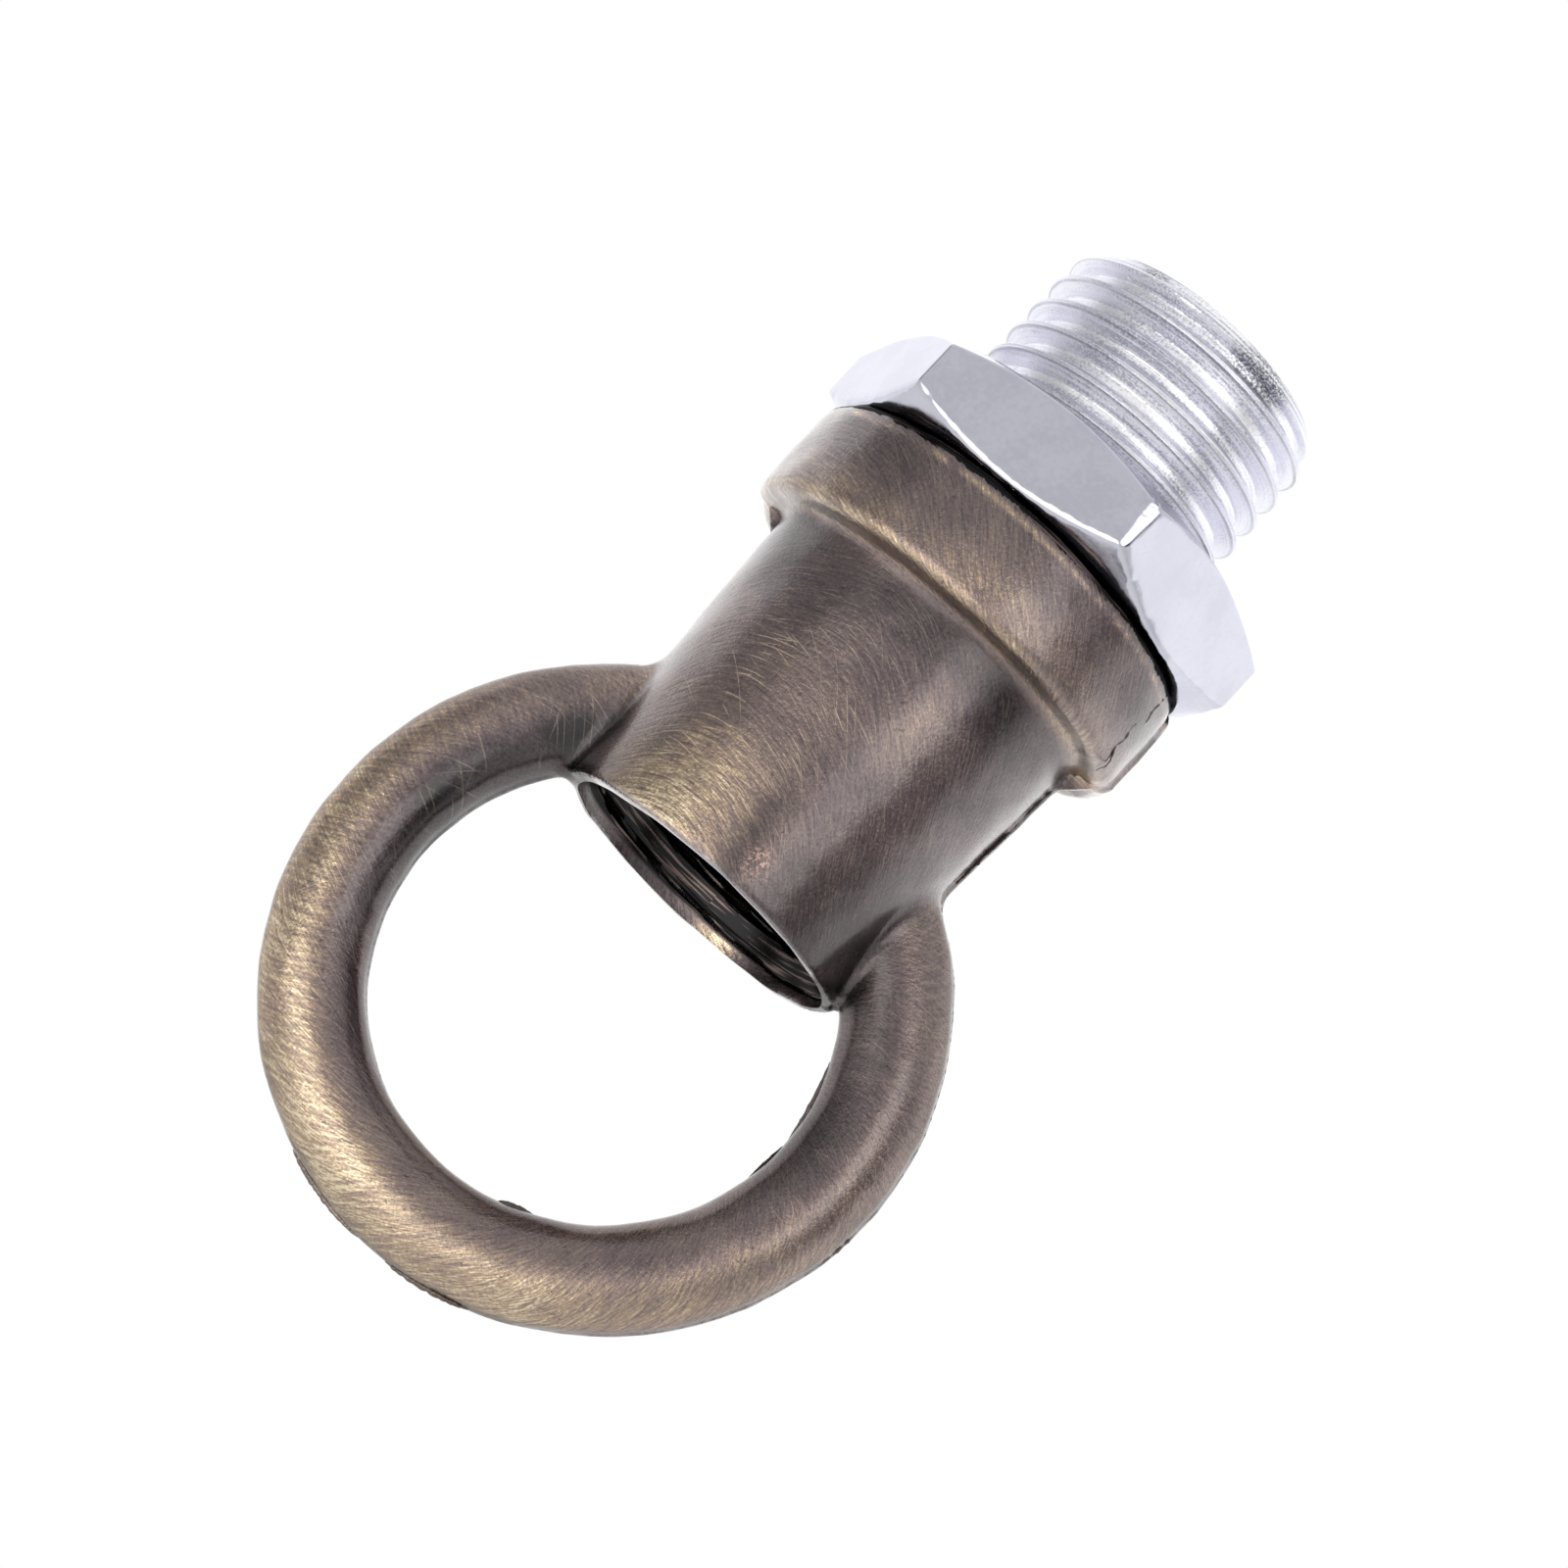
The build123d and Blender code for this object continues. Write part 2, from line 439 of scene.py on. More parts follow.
cast = {
    "flangeRadius": 7.11,
    "flangeTop": -3.0,
    "flangeLow": -6.7,
    "topRound": 0.55,
    "lowRound": 0.42,
    "thinner": 0.03,           # the flange's low face rises that much for each mm to the right
    "barrel": 0.07,            # the flange's side bulges that much at mid height
    "mouthRadius": 5.29,
    "mouth": -17.2,
    "draft": 3.2,
    "rimRound": 0.2,
    "underFillet": 0.45,
    "ringMid": 8.72,
    "ringWire": 1.645,
    "ringHeight": -21.405,
    "oval": 0.11,              # the ring is out of round by that, longest at ovalTurn
    "ovalTurn": math.radians(50),
    "swell": 0.09,             # and its wire that much thicker there
    "joinFillet": 0.5,
    "mismatch": 0.08,          # how far the two mould halves missed each other, each way
    "offCentre": -0.08,        # the outside against the drilled hole
    "web": 0.75,
    "webHalf": 0.13,
    "waviness": 0.028,
    "dents": 0.007,
    "netStep": 0.168,          # the grid that the form is drawn on, and its two corners
    "netLow": (-10.9, -7.98, -32.3),
    "netHigh": (10.9, 8.0, -2.6),
}


def ringSizes(turn):
    # how far the wire's middle is from the ring's, and the wire's radius, at that angle
    mid = cast["ringMid"] + cast["oval"] * np.cos(2 * (turn - cast["ovalTurn"]))
    return mid, cast["ringWire"] + cast["swell"] * np.maximum(0, np.cos(turn - cast["ovalTurn"])) ** 2


def castForm(p):
    # signed distance to the casting with its hole filled in
    x, y, z = p[:, 0], p[:, 1], p[:, 2]
    half = np.clip(y / 0.08, -1, 1)
    bodyX = x - cast["mismatch"] * half - cast["offCentre"]
    r = np.hypot(bodyX, y)
    low = cast["flangeLow"] + cast["thinner"] * np.clip(x, 0, 8)
    mid = (cast["flangeTop"] + low) / 2
    tall = (cast["flangeTop"] - low) / 2
    rounding = np.where(z > mid, cast["topRound"], cast["lowRound"])
    bulge = cast["barrel"] * ((z - mid) / tall) ** 2
    a, b = r + bulge - (cast["flangeRadius"] - rounding), np.abs(z - mid) - (tall - rounding)
    flange = np.hypot(np.maximum(a, 0), np.maximum(b, 0)) + np.minimum(np.maximum(a, b), 0) - rounding
    slope = math.tan(math.radians(cast["draft"]))
    wall = (r - cast["mouthRadius"] - (z - cast["mouth"]) * slope) / math.hypot(1, slope)
    wall = np.maximum(wall, z - cast["flangeTop"] + 1)
    socket = -filletMin(-wall, z - cast["mouth"], cast["rimRound"])
    body = filletMin(flange, socket, cast["underFillet"])
    ringMid, ringWire = ringSizes(np.arctan2(z - cast["ringHeight"], x))
    away = np.hypot(x - 0.04 * half, z - cast["ringHeight"]) - ringMid
    ring = np.hypot(away, y) - ringWire
    made = filletMin(body, ring, cast["joinFillet"])
    under = low - z
    socketTop = cast["mouthRadius"] + (cast["flangeLow"] - cast["mouth"]) * slope
    corner = (np.abs(x) - socketTop + under - cast["web"]) * 0.707
    web = np.maximum(np.maximum(np.abs(y) - cast["webHalf"], corner), np.maximum(-under - 0.4, 5 - np.abs(x)))
    made = filletMin(made, web, 0.12)
    return made - cast["waviness"] * ripple(p, 2.6, 5) - cast["dents"] * ripple(p, 0.95, 8)


def slopeOf(form, p, reach=0.01):
    out = np.empty_like(p)
    for k in range(3):
        shift = np.zeros(3)
        shift[k] = reach
        out[:, k] = (form(p + shift) - form(p - shift)) / (2 * reach)
    return out


def netSurface(form, low, high, step):
    # one point in each grid cell that the surface crosses, and one face for each crossed grid edge
    axes = [np.arange(low[k], high[k], step) for k in range(3)]
    spots = np.stack(np.meshgrid(*axes, indexing="ij"), -1)
    shape = spots.shape[:3]
    value = np.concatenate([form(part.reshape(-1, 3)) for part in np.array_split(spots, 8)]).reshape(shape)
    cells = np.array([n - 1 for n in shape])
    total = np.zeros((cells.prod(), 3))
    count = np.zeros(cells.prod())
    faces = []
    for k in range(3):
        p, q = (k + 1) % 3, (k + 2) % 3
        first = [slice(None)] * 3
        second = [slice(None)] * 3
        first[k], second[k] = slice(0, -1), slice(1, None)
        va, vb = value[tuple(first)], value[tuple(second)]
        index = np.argwhere((va < 0) != (vb < 0))
        a, b = va[tuple(index.T)], vb[tuple(index.T)]
        point = spots[tuple(index.T)].copy()
        point[:, k] += step * a / (a - b)
        around = []
        for dp, dq in ((0, 0), (-1, 0), (-1, -1), (0, -1)):
            cell = index.copy()
            cell[:, p] += dp
            cell[:, q] += dq
            flat = (cell[:, 0] * cells[1] + cell[:, 1]) * cells[2] + cell[:, 2]
            around.append(flat)
            np.add.at(total, flat, point)
            np.add.at(count, flat, 1)
        quad = np.stack(around, 1)
        faces.append(np.where((a < 0)[:, None], quad, quad[:, ::-1]))
    faces = np.concatenate(faces)
    used, faces = np.unique(faces, return_inverse=True)
    return total[used] / count[used][:, None], faces.reshape(-1, 4)


def settle(points, faces, form, rounds):
    # evens the points out along the surface and draws them onto it
    edges = np.concatenate([faces[:, [0, 1]], faces[:, [1, 2]], faces[:, [2, 3]], faces[:, [3, 0]]])
    for i in range(rounds):
        slope = slopeOf(form, points)
        unit = slope / np.linalg.norm(slope, axis=1)[:, None]
        total = np.zeros_like(points)
        count = np.zeros(len(points))
        np.add.at(total, edges[:, 0], points[edges[:, 1]])
        np.add.at(count, edges[:, 0], 1)
        np.add.at(total, edges[:, 1], points[edges[:, 0]])
        np.add.at(count, edges[:, 1], 1)
        move = total / count[:, None] - points
        move -= (move * unit).sum(1)[:, None] * unit
        points = points + 0.5 * move
        slope = slopeOf(form, points)
        points = points - (form(points) / (slope ** 2).sum(1))[:, None] * slope
    return points


socketHole = {
    "leadRadius": 4.96,
    "leadDeep": 0.34,
    "flare": 0.42,             # how fast the thread's start closes in behind the lead
    "threadDeep": 5.2,
    "plain": 4.695,
    "columns": 168,
    "rowStep": 0.075,
}


def makeHoleCutter():
    h, mouth = socketHole, cast["mouth"]
    outline = [(0.4, mouth - 1, 1), (h["leadRadius"] + 0.12, mouth - 1, 1),
               (h["leadRadius"] + 0.02, mouth - 0.03, 1), (h["leadRadius"] - 0.03, mouth + h["leadDeep"], 1)]
    for z in np.arange(mouth + h["leadDeep"] + 0.05, mouth + h["threadDeep"], h["rowStep"]):
        outline.append((thread["crest"] + thread["clearance"], z, 0))
    outline += [(h["plain"], mouth + h["threadDeep"] + 0.05, 1), (h["plain"], cast["flangeTop"] - 0.25, 1),
                (h["plain"] + 0.3, cast["flangeTop"] + 0.05, 1), (h["plain"] + 0.3, cast["flangeTop"] + 0.6, 1),
                (0.4, cast["flangeTop"] + 0.6, 1)]
    points, faces, plain = lathe(outline, h["columns"])
    columns = h["columns"]
    capped = [list(f) for f in faces[:-columns]]
    capped += [list(range(columns))[::-1], list(range(len(points) - columns, len(points)))]
    blank = drawMesh("holeBlank", points, capped, plain)
    cutter = cutThread(blank, "holeCutter", finish["antiqueBrushedBrass"], thread["clearance"], seam=False)
    spots = corners(cutter.data)
    r = np.hypot(spots[:, 0], spots[:, 1])
    deep = spots[:, 2] - mouth - h["leadDeep"]
    least = np.where((deep > 0.01) & (deep < 1.5), h["leadRadius"] - 0.04 - deep * h["flare"], 0)
    spots[:, :2] *= (np.maximum(r, least) / r)[:, None]
    cutter.data.vertices.foreach_set("co", spots.astype(np.float32).ravel())
    return cutter


flash = {
    # kind, from, to, thickness: degrees round the ring, heights on the socket and the flange
    "paths": (("outer", 249, 267, 0.12), ("outer", 273, 289, 0.12), ("outer", 350, 359, 0.07),
              ("outer", 118, 131, 0.08), ("inner", 285, 294, 0.20), ("inner", 350, 362, 0.12),
              ("inner", 364, 386, 0.14), ("socket", -7.0, -8.6, 0.05), ("socket", -8.9, -11.6, 0.055),
              ("flange", -3.55, -6.66, 0.036)),
    "flangeAngle": -21.0,
    "stepLong": 0.07,
    "sides": 7,
    "ragged": 1.3,
    "wander": 0.10,
    "noiseSize": 0.24,
}


def flashTree():
    # sweeps a ragged bead along each path; its thickness comes from the path's points
    tree, add, given = startTree("flashBead", ("Step Long", "Ragged", "Wander", "Noise Size"), ("Sides",))
    place = addNode(tree, "GeometryNodeInputPosition").outputs[0]
    often = add("Math.DIVIDE", 1.0, given["Noise Size"])
    noise = addNode(tree, "ShaderNodeTexNoise", None, {"Vector": place, "Scale": often, "Detail": 2.0}).outputs
    thick = addNode(tree, "GeometryNodeInputNamedAttribute", {"data_type": "FLOAT"}, {0: "thick"}).outputs[0]
    uneven = add("Math.MULTIPLY_ADD", add("Math.SUBTRACT", noise[0], 0.5), given["Ragged"], 1.0)
    radius = add("Math.MAXIMUM", add("Math.MULTIPLY", thick, uneven), 0.012)
    sway = add("VectorMath.SCALE", add("VectorMath.SUBTRACT", noise[1], (0.5, 0.5, 0.5)), given["Wander"])
    line = addNode(tree, "GeometryNodeMeshToCurve", None, {0: given["Shape"]}).outputs[0]
    line = addNode(tree, "GeometryNodeResampleCurve", {"mode": "LENGTH"},
                   {"Curve": line, "Length": given["Step Long"]}).outputs[0]
    line = addNode(tree, "GeometryNodeSetPosition", None, {"Geometry": line, "Offset": sway}).outputs[0]
    section = addNode(tree, "GeometryNodeCurvePrimitiveCircle", None,
                      {"Resolution": given["Sides"], "Radius": 1.0}).outputs[0]
    bead = addNode(tree, "GeometryNodeCurveToMesh", None,
                   {"Curve": line, "Profile Curve": section, "Scale": radius, "Fill Caps": True}).outputs[0]
    return endTree(tree, bead, given["Finish"])


def flashPath(kind, start, end):
    # points on the mould line, just under the surface
    t = np.linspace(0, 1, 60)
    s = start + (end - start) * t
    if kind in ("outer", "inner"):
        side = 1 if kind == "outer" else -1
        turn = np.radians(s)
        ringMid, ringWire = ringSizes(turn)
        radius = ringMid + side * (ringWire - 0.015)
        return np.stack([radius * np.cos(turn), 0 * s, cast["ringHeight"] + radius * np.sin(turn)], -1)
    if kind == "socket":
        slope = math.tan(math.radians(cast["draft"]))
        radius = cast["mouthRadius"] + (s - cast["mouth"]) * slope + cast["offCentre"] - 0.01
        return np.stack([radius, 0 * s, s], -1)
    turn = np.radians(flash["flangeAngle"] + 1.6 * np.sin(t * 9) + 1.0 * np.sin(t * 23 + 1))
    radius = cast["flangeRadius"] - 0.02
    return np.stack([radius * np.cos(turn) + cast["offCentre"] - cast["mismatch"], radius * np.sin(turn), s], -1)


def makeFlash():
    mesh = bpy.data.meshes.new("flashPaths")
    points, thick, edges = [], [], []
    for kind, start, end, most in flash["paths"]:
        line = flashPath(kind, start, end)
        edges += [(len(points) + k, len(points) + k + 1) for k in range(len(line) - 1)]
        points += line.tolist()
        thick += (most * np.sin(np.linspace(0.12, math.pi - 0.12, len(line))) ** 0.5).tolist()
    mesh.from_pydata(points, edges, [])
    mesh.attributes.new("thick", "FLOAT", "POINT").data.foreach_set("value", thick)
    paths = bpy.data.objects.new("flashPaths", mesh)
    scene.collection.objects.link(paths)
    return runTree(paths, flashTree(), {
        "Step Long": flash["stepLong"], "Ragged": flash["ragged"], "Wander": flash["wander"],
        "Noise Size": flash["noiseSize"], "Sides": flash["sides"],
        "Finish": finish["antiqueBrushedBrass"]}, "flashBeads")


def markCasting(mesh):
    # tells the finish what is ring, and how closed in each point is, for the dark patina that the brush could not
    # reach there and for painted shade
    points = corners(mesh)
    out = np.zeros(len(points) * 3, np.float32)
    mesh.vertex_normals.foreach_get("vector", out)
    out = out.reshape(-1, 3)
    x, y, z = points.T
    slope = math.tan(math.radians(cast["draft"]))
    wall = np.hypot(x, y) - cast["mouthRadius"] - (z - cast["mouth"]) * slope
    body = np.where(z > cast["mouth"] + 0.3, wall, 2)
    ringMid, ringWire = ringSizes(np.arctan2(z - cast["ringHeight"], x))
    wire = np.abs(np.hypot(np.hypot(x, z - cast["ringHeight"]) - ringMid, y) - ringWire)
    share = np.clip((np.abs(body) - wire) / 0.3 + 0.5, 0, 1)
    hidden = 0
    for reach in (0.5, 1.3):
        hidden = hidden + np.clip(1 - castForm(points + out * reach) / reach, 0, 1) / 2
    # inside the tapped hole: painted shade in full, and only a little on its lead
    bore = np.hypot(x, y) < 4.97
    hidden = np.where(bore & (z < cast["flangeTop"]) & (z > cast["mouth"] + 0.36), 1.0, hidden)
    hidden = np.where(bore & (z <= cast["mouth"] + 0.36), 0.1, hidden)
    stray = np.clip(castForm(points) / 0.04 - 0.3, 0, 1)
    for name, values in (("flash", stray), ("ringShare", share), ("recess", hidden)):
        mesh.attributes.new(name, "FLOAT", "POINT").data.foreach_set("value", values.astype(np.float32))


def makeCasting():
    points, faces = netSurface(castForm, cast["netLow"], cast["netHigh"], cast["netStep"])
    points = settle(points, faces, castForm, 4)
    print("cast form drawn,", len(faces), "faces")
    solid = drawMesh("castSolid", points, faces)
    cutter = makeHoleCutter()
    beads = makeFlash()
    for tool, operation in ((cutter, "DIFFERENCE"), (beads, "UNION")):
        step = solid.modifiers.new(tool.name, "BOOLEAN")
        step.operation = operation
        step.solver = "MANIFOLD"
        step.object = tool
    piece = frozen(solid, "castLoop")
    bpy.data.objects.remove(cutter)
    bpy.data.objects.remove(beads)
    markCasting(piece.data)
    finishPiece(piece, finish["antiqueBrushedBrass"], "cast_loop", 45)


makeCasting()


# Finishes

bumpDistance = 0.03 * mm                     # how deep the finest marks look


def startMaterial(material):
    # returns the tree, its adder, the place in millimetres and its parts
    material.use_nodes = True
    tree = material.node_tree
    tree.nodes.clear()
    add = adderFor(tree)
    place = add("VectorMath.SCALE", addNode(tree, "ShaderNodeTexCoord").outputs["Object"], 1 / mm)
    return tree, add, place, addNode(tree, "ShaderNodeSeparateXYZ", None, {0: place}).outputs


def setStops(ramp, stops):
    # puts hex colours on a ramp and returns its colour
    bar = ramp.color_ramp
    while len(bar.elements) < len(stops):
        bar.elements.new(0.5)
    for element, (position, colour) in zip(bar.elements, stops):
        element.position = position
        element.color = linear(colour)
    return ramp.outputs[0]


def endMaterial(tree, colour, rough, height, bump, more):
    # bare metal with its finest marks as a bump
    bumped = addNode(tree, "ShaderNodeBump", None,
                     {"Strength": bump, "Distance": bumpDistance, "Height": height}).outputs[0]
    shader = addNode(tree, "ShaderNodeBsdfPrincipled", None,
                     {"Base Color": colour, "Metallic": 1.0, "Roughness": rough, "Normal": bumped, **more})
    addNode(tree, "ShaderNodeOutputMaterial", None, {0: shader.outputs[0]})


def zincFinish(material, look):
    # bright zinc plate over cut steel: white and frosted, with fine tool lines that follow the turning
    tree, add, place, (x, y, z) = startMaterial(material)
    turn = add("Math.ARCTAN2", x, add("Math.MULTIPLY", y, -1.0))
    around = add("Math.MULTIPLY", turn, thread["crest"] + 0.01)
    out = add("Math.SQRT", add("Math.MULTIPLY_ADD", x, x, add("Math.MULTIPLY", y, y)))
    helix = add("Math.MULTIPLY_ADD", turn, -look["rise"] / (2 * math.pi), z)
    # real tool lines are some 0.05 mm apart, and are drawn two or three times as coarse, to show
    alongLines = add("CombineXYZ", add("Math.MULTIPLY", around, look["lineLong"]),
                     add("Math.MULTIPLY", helix, look["lineFine"]), add("Math.MULTIPLY", out, look["lineFine"]))
    lines = add("TexNoise", alongLines, 1.0, 2.0, 0.6)
    cloud = add("TexNoise", place, 0.55, 3.0)
    grain = add("TexNoise", place, 1 / look["grain"], 2.0, 0.6)
    pits = add("MapRange", add("TexNoise", place, 2.2, 1.0), 0.715, 0.74, 0.0, 1.0)
    mixedGrain = add("Math.MULTIPLY_ADD", lines, look["lines"], add("Math.MULTIPLY", grain, 1 - look["lines"]))
    tone = add("Math.MULTIPLY_ADD", cloud, look["cloud"], add("Math.MULTIPLY", mixedGrain, 1 - look["cloud"]))
    colour = setStops(addNode(tree, "ShaderNodeValToRGB", None, {0: tone}),
                      [(0.43, look["dull"]), (0.5, look["middle"]), (0.57, look["bright"])])
    # streaky tool lines in full on the side that faces the camera; elsewhere they fade under an even pale
    # lavender, a painted reflection of the room on the stud's sides
    streakShare = add("Math.ABSOLUTE", add("Math.SUBTRACT", turn, 0.1))
    streakShare = add("MapRange.SMOOTHSTEP", streakShare, 0.5, 0.9, 1.0, look["evenly"])
    colour = add("Mix.RGBA", streakShare, linear(look["sideSheen"]), colour)
    speckle = add("MapRange", add("TexNoise", place, 11.0, 2.0, 0.7), 0.44, 0.56, 0.0, 1.0)
    for angle, height, wide, tall in look["scuffs"]:
        # plate worn grey in fine speckles
        far = add("Math.SUBTRACT", turn, math.radians(angle + 90))
        far = add("Math.POWER", add("Math.DIVIDE", far, math.radians(wide)), 2.0)
        off = add("Math.DIVIDE", add("Math.SUBTRACT", z, height), tall)
        far = add("Math.ADD", far, add("Math.POWER", off, 2.0))
        darkGrey = add("Math.MULTIPLY", add("MapRange.SMOOTHSTEP", far, 0.2, 1.0, 0.85, 0.0), speckle)
        colour = add("Mix.RGBA", darkGrey, colour, linear(look["darkGrey"]))
    # painted along the crest's rolled edge: a highlight line, and a line of shade beside it
    toCrest = add("Math.PINGPONG", add("Math.ADD", helix, look["crestShift"]), thread["pitch"] / 2)
    crestGlintAndShade = add("Math.SUBTRACT", add("MapRange", toCrest, 0.02, 0.05, 1.0, 0.0),
              add("MapRange", add("Math.ABSOLUTE", add("Math.SUBTRACT", toCrest, 0.09)), 0.0, 0.035, 0.7, 0.0))
    crestGlintAndShade = add("Math.MULTIPLY", crestGlintAndShade, add("MapRange", cloud, 0.35, 0.6, look["crestGlintAndShade"] * 0.5, look["crestGlintAndShade"]))
    crestShadeLine = add("Math.MAXIMUM", add("Math.MULTIPLY", crestGlintAndShade, -1.0), 0.0)
    colour = add("Mix.RGBA", crestShadeLine, colour, linear(look["darkGrey"]))
    colour = add("Mix.RGBA", add("Math.MAXIMUM", crestGlintAndShade, 0.0), colour, linear("#f2f2f6"))
    rough = add("MapRange", mixedGrain, 0.3, 0.7, look["rough"] - 0.07, look["rough"] + 0.07)
    height = add("Math.SUBTRACT", mixedGrain, add("Math.MULTIPLY", pits, 0.4))
    endMaterial(tree, colour, rough, height, look["bump"], {"Specular Tint": linear(look["edge"])})


zincFinish(finish["zincPlatedStud"],
           {"bright": "#ffffff", "middle": "#ececf4", "dull": "#bcbdc8", "sideSheen": "#e2e2ea", "darkGrey": "#62626a",
            "evenly": 0.25, "grain": 0.085, "rough": 0.31, "edge": "#ededf2", "bump": 1.0,
            "cloud": 0.1, "rise": 1.0, "lineLong": 0.16, "lineFine": 7.5, "lines": 0.55,
            "crestShift": 0.25 + thread["crestAngle"] / 360 - thread["crestHeight"], "crestGlintAndShade": 0.8,
            "scuffs": ((-62, 5.65, 20, 0.75), (-122, 5.95, 8, 0.3))})
zincFinish(finish["zincPlatedNut"],
           {"bright": "#c5c5d0", "middle": "#c1c1cc", "dull": "#bdbdc8", "sideSheen": "#c1c1cc", "evenly": 1.0,
            "edge": "#f4f4f7", "darkGrey": "#7b7b82", "grain": 0.2, "rough": 0.15, "bump": 0.08,
            "cloud": 0.5, "rise": 0.0, "lineLong": 0.3, "lineFine": 2.0, "lines": 0.3, "crestShift": 0.0,
            "crestGlintAndShade": 0.0, "scuffs": ()})


brass = {
    "recess": "#252022",
    "patina": "#5c4f50",
    "thin": "#82716a",
    "rubbed": "#ab957b",
    "bright": "#d8c9ab",
    "black": "#161719",
    "flash": "#452f30",
    "copper": "#c09a8c",
    "rimGlint": "#c4bcc0",
    "ringEdge": "#8c837d",     # metal seen along its surface: darker on the ring and where it wasn't brushed
    "blackEdge": "#484848",
    "bodyRadius": 6.3,         # where lengths round the body are measured
    "blackAbove": -3.35,
    "coat": 0.75,              # lacquer, thinner by the next number where it wasn't brushed
    "coatLess": 0.65,
    "coatRough": 0.2,
    "coatIor": 1.6,
    # brush strokes: lean, arc, lean on the wire, marks for each mm, their length in mm, seed
    # real ones are some 0.03 mm apart, and are drawn three times as coarse, to show
    "strokes": ((0.0, 8.0, 0.0, 12.0, 0.8, 0.0), (-0.1, 6.0, -0.72, 9.0, 1.0, 9.0)),
    # scratches: lean, arc, rows for each mm, length in mm, share of a row that stays bare, seed
    "scratches": ((0.0, 8.5, 4.2, 1.7, 0.54, 7.7), (0.35, 8.0, 2.6, 2.4, 0.57, 21.3),
                  (-0.25, 7.0, 3.1, 1.4, 0.57, 63.2), (0.75, 4.0, 1.9, 3.0, 0.58, 87.4),
                  (0.3, 2.0, 2.0, 1.6, 0.60, 43.9)),
}


def brassFinish(material):
    # brass plate blackened in a bath and brushed back by hand: brass shows where it rubbed through
    tree, add, place, (x, y, z) = startMaterial(material)

    def near(value, middle, wide, most):
        # a smooth hump of that height and half width
        away = add("Math.ABSOLUTE", add("Math.SUBTRACT", value, middle))
        return add("MapRange.SMOOTHSTEP", away, 0.0, wide, most, 0.0)

    def chain(operation, *values):
        made = values[0]
        for value in values[1:]:
            made = add("Math." + operation, made, value)
        return made

    ringShare, recess, stray = (addNode(tree, "ShaderNodeAttribute", {"attribute_name": name}).outputs["Fac"]
                                for name in ("ringShare", "recess", "flash"))
    isRing = add("Math.GREATER_THAN", ringShare, 0.5)
    turn = add("Math.ARCTAN2", x, add("Math.MULTIPLY", y, -1.0))       # 0 faces the camera's side
    around = add("Math.MULTIPLY", turn, brass["bodyRadius"])
    down = add("Math.SUBTRACT", z, cast["ringHeight"])
    out = add("Math.SQRT", add("Math.MULTIPLY_ADD", x, x, add("Math.MULTIPLY", down, down)))
    out = add("Math.SUBTRACT", out, cast["ringMid"])
    ringTurn = add("Math.ARCTAN2", x, add("Math.MULTIPLY", down, -1.0))
    alongRing = add("Math.MULTIPLY", ringTurn, cast["ringMid"])
    acrossWire = add("Math.MULTIPLY", add("Math.ARCTAN2", y, out), cast["ringWire"])
    sway = add("Math.MULTIPLY_ADD", add("TexNoise", place, 0.22, 0.0), 1.2, -0.6)

    def pick(onBody, onRing):
        return add("Mix.FLOAT", isRing, onBody, onRing)

    ringLean = add("Math.MULTIPLY_ADD", add("Math.COSINE", add("Math.SUBTRACT", ringTurn, 0.35)), 0.9, 0.75)
    # strokes lie level at minus this turn, which is further round on the flange than on the socket
    level = add("MapRange.SMOOTHSTEP", z, -7.4, -6.5, 0.40, 1.05)

    def strokeField(lean, arc, onWire):
        # distance across the strokes: they arc down round the body and cross the ring's wire at a slant
        body = add("Math.MULTIPLY_ADD", around, lean, z)
        body = add("Math.MULTIPLY_ADD", add("Math.COSINE", add("Math.ADD", turn, level)), -arc, body)
        ring = add("Math.MULTIPLY_ADD", acrossWire, add("Math.ADD", ringLean, onWire), alongRing)
        return add("Math.ADD", pick(body, ring), sway)

    along = pick(around, acrossWire)

    def brushed(lean, arc, onWire, fine, length, shift):
        vector = add("CombineXYZ", add("Math.MULTIPLY", along, 1 / length),
                     add("Math.MULTIPLY", strokeField(lean, arc, onWire), fine), shift)
        return add("TexNoise", vector, 1.0, 2.0, 0.6)

    def scratched(lean, arc, perMm, length, share, shift):
        # single hair scratches: one possible line in each row, there only along part of it
        rows = add("Math.MULTIPLY", strokeField(lean, arc, -1.6 * lean), perMm)
        row = add("Math.FLOOR", rows)
        chance = add("TexWhiteNoise.1D", add("Math.ADD", row, shift))
        middle = add("Math.MULTIPLY_ADD", chance, 0.6, 0.2)
        gap = add("Math.ABSOLUTE", add("Math.SUBTRACT", add("Math.FRACT", rows), middle))
        line = add("MapRange", gap, 0.0, 0.022 * perMm, 1.0, 0.0)
        spot = add("CombineXYZ", add("Math.MULTIPLY_ADD", chance, 40.0, add("Math.MULTIPLY", along, 1 / length)),
                   add("Math.MULTIPLY", row, 3.7), shift)
        there = add("MapRange", add("TexNoise", spot, 1.0, 0.0), share, share + 0.1, 0.0, 1.0)
        return add("Math.MULTIPLY", line, there)

    first, second = (brushed(*stroke) for stroke in brass["strokes"])
    fine = add("Math.MULTIPLY_ADD", first, 0.5, add("Math.MULTIPLY", second, 0.5))
    fine = add("MapRange", fine, 0.35, 0.65, 0.0, 1.0)
    grain = add("TexNoise", place, 9.5, 2.0, 0.65)
    cloud = add("TexNoise", place, 0.3, 2.0, 0.5)
    patch = add("TexNoise", place, 1.1, 2.0, 0.5)
